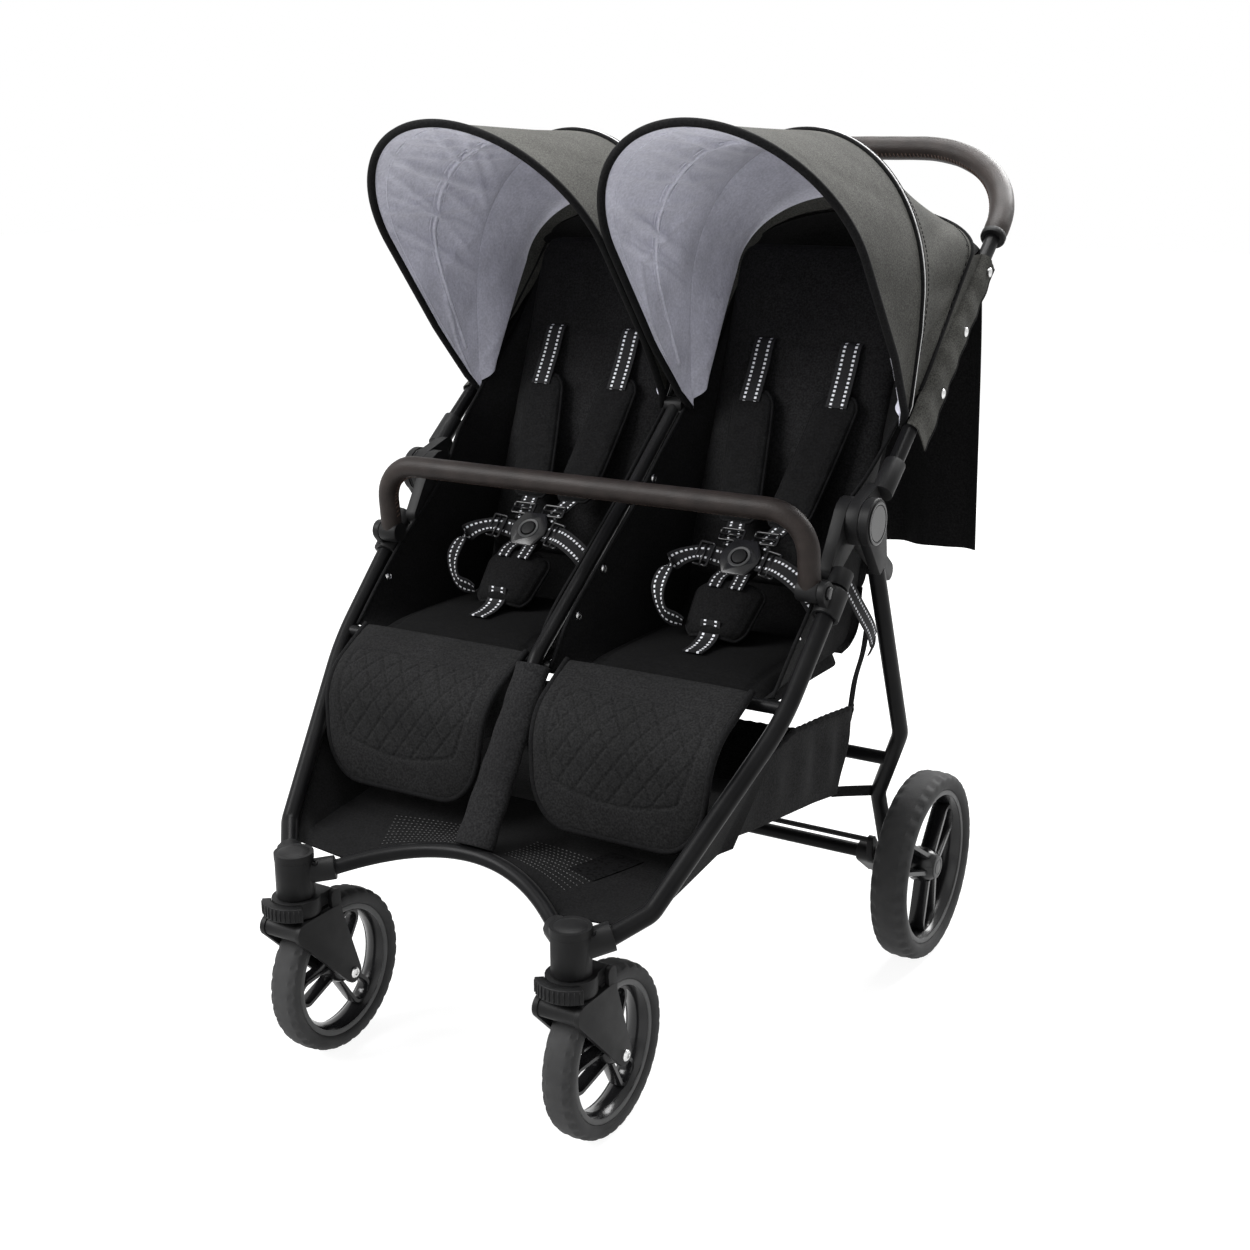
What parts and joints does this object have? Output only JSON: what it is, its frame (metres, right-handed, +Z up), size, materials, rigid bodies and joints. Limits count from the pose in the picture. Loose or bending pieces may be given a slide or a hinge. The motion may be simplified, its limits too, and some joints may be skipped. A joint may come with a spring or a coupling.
{
  "type": "twin stroller",
  "caption": "Side-by-side twin stroller with swivelling front casters, larger rear wheels, folding push handle, bumper bar, reclining seats, leg rests, tilting canopies and a basket.",
  "frame": {"origin": "on the ground, below the middle of the overall box", "axes": "+Z up, X across the two seats, the front with the casters towards -Y and the push handle towards +Y"},
  "size_m": [0.717, 1.0428, 1.1047],
  "materials": {
    "frame_tube": "satin black powder coat",
    "black_plastic": "fine grain",
    "gloss_plastic": "polished black",
    "tyre_rubber": "matt rubber",
    "grip_leather": "dark brown leatherette",
    "seat_cloth": "black woven cloth",
    "pad_cloth": "charcoal woven cloth",
    "canopy_cloth": "grey heather cloth"
  },
  "bodies": {
    "chassis": {"front_tube_left": "frame_tube", "front_tube_right": "frame_tube", "front_cross_tube": "frame_tube", "centre_tube": "frame_tube", "seat_front_tube": "frame_tube", "caster_bracket_left": "black_plastic", "caster_bracket_right": "black_plastic", "front_hinge_arm_left": "black_plastic", "front_hinge_arm_right": "black_plastic", "bar_clamp_left": "black_plastic", "bar_clamp_right": "black_plastic", "seat_pad_left": "seat_cloth", "seat_pad_right": "seat_cloth", "foot_tray": "seat_cloth", "basket": "pad_cloth"},
    "handle": {"handle_tube": "frame_tube", "handle_grip": "grip_leather", "handle_hinge_arm_left": "black_plastic", "handle_hinge_arm_right": "black_plastic", "centre_arm": "frame_tube", "canopy_rear_left": "canopy_cloth", "canopy_rear_right": "canopy_cloth", "rear_flap": "seat_cloth"},
    "rear_frame": {"rear_leg_left": "frame_tube", "rear_leg_right": "frame_tube", "leg_hinge_plate_left": "black_plastic", "leg_hinge_plate_right": "black_plastic", "rear_cross_tube": "frame_tube", "rear_axle": "frame_tube"},
    "back_carrier": {"back_tube": "frame_tube"},
    "left_back": {"backrest_left": "seat_cloth"},
    "right_back": {"backrest_right": "seat_cloth"},
    "left_leg_rest": {"leg_rest_left": "pad_cloth"},
    "right_leg_rest": {"leg_rest_right": "pad_cloth"},
    "left_harness": {"crotch_pad_left": "seat_cloth", "buckle_left": "gloss_plastic"},
    "right_harness": {"crotch_pad_right": "seat_cloth", "buckle_right": "gloss_plastic"},
    "left_buckle_button": {"buckle_button_left": "gloss_plastic"},
    "right_buckle_button": {"buckle_button_right": "gloss_plastic"},
    "bar": {"bumper_bar": "grip_leather"},
    "left_bar_button": {"bar_button_left": "black_plastic"},
    "right_bar_button": {"bar_button_right": "black_plastic"},
    "left_canopy": {"canopy_front_left": "canopy_cloth"},
    "right_canopy": {"canopy_front_right": "canopy_cloth"},
    "brake": {"brake_pedal": "black_plastic"},
    "left_rear_wheel": {"rear_left_tyre": "tyre_rubber", "rear_left_rim": "gloss_plastic"},
    "right_rear_wheel": {"rear_right_tyre": "tyre_rubber", "rear_right_rim": "gloss_plastic"},
    "left_caster": {"caster_stem_left": "black_plastic"},
    "right_caster": {"caster_stem_right": "black_plastic"},
    "left_lock": {"swivel_lock_left": "black_plastic"},
    "right_lock": {"swivel_lock_right": "black_plastic"},
    "left_fork": {"front_fork_left": "black_plastic"},
    "right_fork": {"front_fork_right": "black_plastic"},
    "left_front_wheel": {"front_left_tyre": "tyre_rubber", "front_left_rim": "gloss_plastic"},
    "right_front_wheel": {"front_right_tyre": "tyre_rubber", "front_right_rim": "gloss_plastic"}
  },
  "joints": [
    {"name": "fold", "type": "hinge", "parent": "chassis", "child": "handle", "pos_m": [0, -0.03413, 0.648], "axis": [1, 0, 0], "range_deg": [0, 124], "deforming": ["canopy_front_left", "canopy_front_right", "canopy_rear_left", "canopy_rear_right", "rear_flap", "basket"]},
    {"name": "rear_legs_fold", "type": "hinge", "parent": "chassis", "child": "rear_frame", "pos_m": [0, -0.03413, 0.648], "axis": [1, 0, 0], "range_deg": [-40.5, 0]},
    {"name": "back_fold", "type": "hinge", "parent": "chassis", "child": "back_carrier", "pos_m": [0, 0.08487, 0.56], "axis": [1, 0, 0], "range_deg": [0, 83]},
    {"name": "bar_fold", "type": "hinge", "parent": "chassis", "child": "bar", "pos_m": [0, -0.13648, 0.58462], "axis": [1, 0, 0], "range_deg": [0, 93]},
    {"name": "left_harness_fold", "type": "hinge", "parent": "chassis", "child": "left_harness", "pos_m": [-0.158, -0.10563, 0.504], "axis": [1, 0, 0], "range_deg": [-35, 0]},
    {"name": "right_harness_fold", "type": "hinge", "parent": "chassis", "child": "right_harness", "pos_m": [0.158, -0.10563, 0.504], "axis": [1, 0, 0], "range_deg": [-35, 0]},
    {"name": "left_recline", "type": "hinge", "parent": "back_carrier", "child": "left_back", "pos_m": [-0.158, 0.08487, 0.56], "axis": [1, 0, 0], "range_deg": [-24, 0]},
    {"name": "right_recline", "type": "hinge", "parent": "back_carrier", "child": "right_back", "pos_m": [0.158, 0.08487, 0.56], "axis": [1, 0, 0], "range_deg": [-24, 0]},
    {"name": "left_leg_rest_lift", "type": "hinge", "parent": "chassis", "child": "left_leg_rest", "pos_m": [-0.154, -0.21913, 0.467], "axis": [1, 0, 0], "range_deg": [-55, 0]},
    {"name": "right_leg_rest_lift", "type": "hinge", "parent": "chassis", "child": "right_leg_rest", "pos_m": [0.154, -0.21913, 0.467], "axis": [1, 0, 0], "range_deg": [-55, 0]},
    {"name": "left_buckle_press", "type": "slide", "parent": "left_harness", "child": "left_buckle_button", "axis": [0, 0.6769, -0.7361], "range_m": [0, 0.003], "stiffness_N_per_m": 400, "springref_m": -0.002},
    {"name": "right_buckle_press", "type": "slide", "parent": "right_harness", "child": "right_buckle_button", "axis": [0, 0.6769, -0.7361], "range_m": [0, 0.003], "stiffness_N_per_m": 400, "springref_m": -0.002},
    {"name": "left_bar_press", "type": "slide", "parent": "chassis", "child": "left_bar_button", "axis": [1, 0, 0], "range_m": [0, 0.003], "stiffness_N_per_m": 400, "springref_m": -0.002},
    {"name": "right_bar_press", "type": "slide", "parent": "chassis", "child": "right_bar_button", "axis": [-1, 0, 0], "range_m": [0, 0.003], "stiffness_N_per_m": 400, "springref_m": -0.002},
    {"name": "left_canopy_tilt", "type": "hinge", "parent": "handle", "child": "left_canopy", "pos_m": [-0.17, 0.08703, 0.74633], "axis": [1, 0, 0], "range_deg": [-38, 12]},
    {"name": "right_canopy_tilt", "type": "hinge", "parent": "handle", "child": "right_canopy", "pos_m": [0.17, 0.08703, 0.74633], "axis": [1, 0, 0], "range_deg": [-38, 12]},
    {"name": "brake_press", "type": "hinge", "parent": "rear_frame", "child": "brake", "pos_m": [0, 0.18437, 0.129], "axis": [-1, 0, 0], "range_deg": [0, 20]},
    {"name": "left_rear_roll", "type": "hinge", "parent": "rear_frame", "child": "left_rear_wheel", "pos_m": [-0.334, 0.18437, 0.129], "axis": [1, 0, 0], "continuous": true},
    {"name": "right_rear_roll", "type": "hinge", "parent": "rear_frame", "child": "right_rear_wheel", "pos_m": [0.334, 0.18437, 0.129], "axis": [1, 0, 0], "continuous": true},
    {"name": "left_swivel", "type": "hinge", "parent": "chassis", "child": "left_caster", "pos_m": [-0.194, -0.48113, 0.2135], "axis": [0, 0, 1], "continuous": true},
    {"name": "right_swivel", "type": "hinge", "parent": "chassis", "child": "right_caster", "pos_m": [0.194, -0.48113, 0.2135], "axis": [0, 0, 1], "continuous": true},
    {"name": "left_swivel_lock", "type": "slide", "parent": "left_caster", "child": "left_lock", "axis": [0, 0, 1], "range_m": [0, 0.006]},
    {"name": "right_swivel_lock", "type": "slide", "parent": "right_caster", "child": "right_lock", "axis": [0, 0, 1], "range_m": [0, 0.006]},
    {"name": "left_suspension", "type": "hinge", "parent": "left_caster", "child": "left_fork", "pos_m": [-0.194, -0.44413, 0.2145], "axis": [1, 0, 0], "range_deg": [0, 6], "stiffness_Nm_per_rad": 60, "springref_deg": -2.86},
    {"name": "right_suspension", "type": "hinge", "parent": "right_caster", "child": "right_fork", "pos_m": [0.194, -0.44413, 0.2145], "axis": [1, 0, 0], "range_deg": [0, 6], "stiffness_Nm_per_rad": 60, "springref_deg": -2.86},
    {"name": "left_front_roll", "type": "hinge", "parent": "left_fork", "child": "left_front_wheel", "pos_m": [-0.194, -0.41813, 0.102], "axis": [1, 0, 0], "continuous": true},
    {"name": "right_front_roll", "type": "hinge", "parent": "right_fork", "child": "right_front_wheel", "pos_m": [0.194, -0.41813, 0.102], "axis": [1, 0, 0], "continuous": true}
  ],
  "couplings": [
    {"joint": "rear_legs_fold", "follows": "fold", "ratio": -0.32},
    {"joint": "back_fold", "follows": "fold", "ratio": 0.66},
    {"joint": "bar_fold", "follows": "fold", "ratio": 0.74},
    {"joint": "left_harness_fold", "follows": "fold", "ratio": -0.275},
    {"joint": "right_harness_fold", "follows": "fold", "ratio": -0.275}
  ]
}
